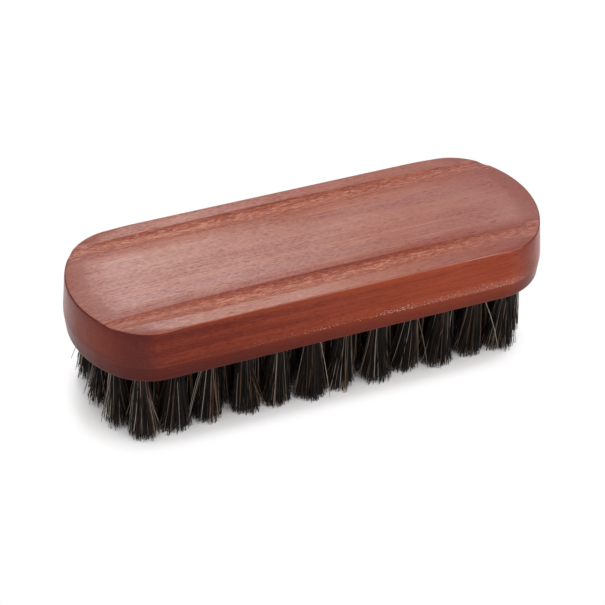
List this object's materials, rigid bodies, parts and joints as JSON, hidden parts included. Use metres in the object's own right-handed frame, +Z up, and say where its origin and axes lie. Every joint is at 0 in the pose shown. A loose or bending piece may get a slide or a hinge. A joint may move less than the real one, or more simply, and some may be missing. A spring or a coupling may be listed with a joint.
{
  "type": "shoe shine brush",
  "caption": "Shoe shine brush: a stained hardwood block with bowed ends and two finger coves, filled below with staggered tufts of dark horsehair for polishing leather.",
  "frame": {"origin": "under the middle of the block, on the surface that the bristle tips rest on", "axes": "+X along the block's length, +Y across its width, +Z up from the bristle tips to the block's top"},
  "size_m": [0.1254, 0.0466, 0.035],
  "materials": {
    "stained_wood": "red-brown stain under satin lacquer",
    "horsehair": "natural dark hair with paler strands",
    "anchor_wire": "bare drawn wire"
  },
  "bodies": {
    "root": {"handle_block": "stained_wood", "tuft_row_01": "horsehair", "tuft_row_02": "horsehair", "tuft_row_03": "horsehair", "tuft_row_04": "horsehair", "tuft_row_05": "horsehair", "tuft_row_06": "horsehair", "tuft_row_07": "horsehair", "tuft_row_08": "horsehair", "tuft_row_09": "horsehair", "tuft_row_10": "horsehair", "tuft_row_11": "horsehair", "tuft_row_12": "horsehair", "tuft_row_13": "horsehair", "tuft_row_14": "horsehair", "tuft_row_15": "horsehair", "tuft_row_16": "horsehair", "tuft_row_17": "horsehair", "tuft_row_18": "horsehair", "tuft_row_19": "horsehair", "tuft_row_20": "horsehair", "tuft_row_21": "horsehair", "tuft_row_22": "horsehair", "tuft_row_23": "horsehair", "tuft_row_24": "horsehair", "tuft_row_25": "horsehair", "anchor_row_01": "anchor_wire", "anchor_row_02": "anchor_wire", "anchor_row_03": "anchor_wire", "anchor_row_04": "anchor_wire", "anchor_row_05": "anchor_wire", "anchor_row_06": "anchor_wire", "anchor_row_07": "anchor_wire", "anchor_row_08": "anchor_wire", "anchor_row_09": "anchor_wire", "anchor_row_10": "anchor_wire", "anchor_row_11": "anchor_wire", "anchor_row_12": "anchor_wire", "anchor_row_13": "anchor_wire", "anchor_row_14": "anchor_wire", "anchor_row_15": "anchor_wire", "anchor_row_16": "anchor_wire", "anchor_row_17": "anchor_wire", "anchor_row_18": "anchor_wire", "anchor_row_19": "anchor_wire", "anchor_row_20": "anchor_wire", "anchor_row_21": "anchor_wire", "anchor_row_22": "anchor_wire", "anchor_row_23": "anchor_wire", "anchor_row_24": "anchor_wire", "anchor_row_25": "anchor_wire"}
  },
  "joints": []
}
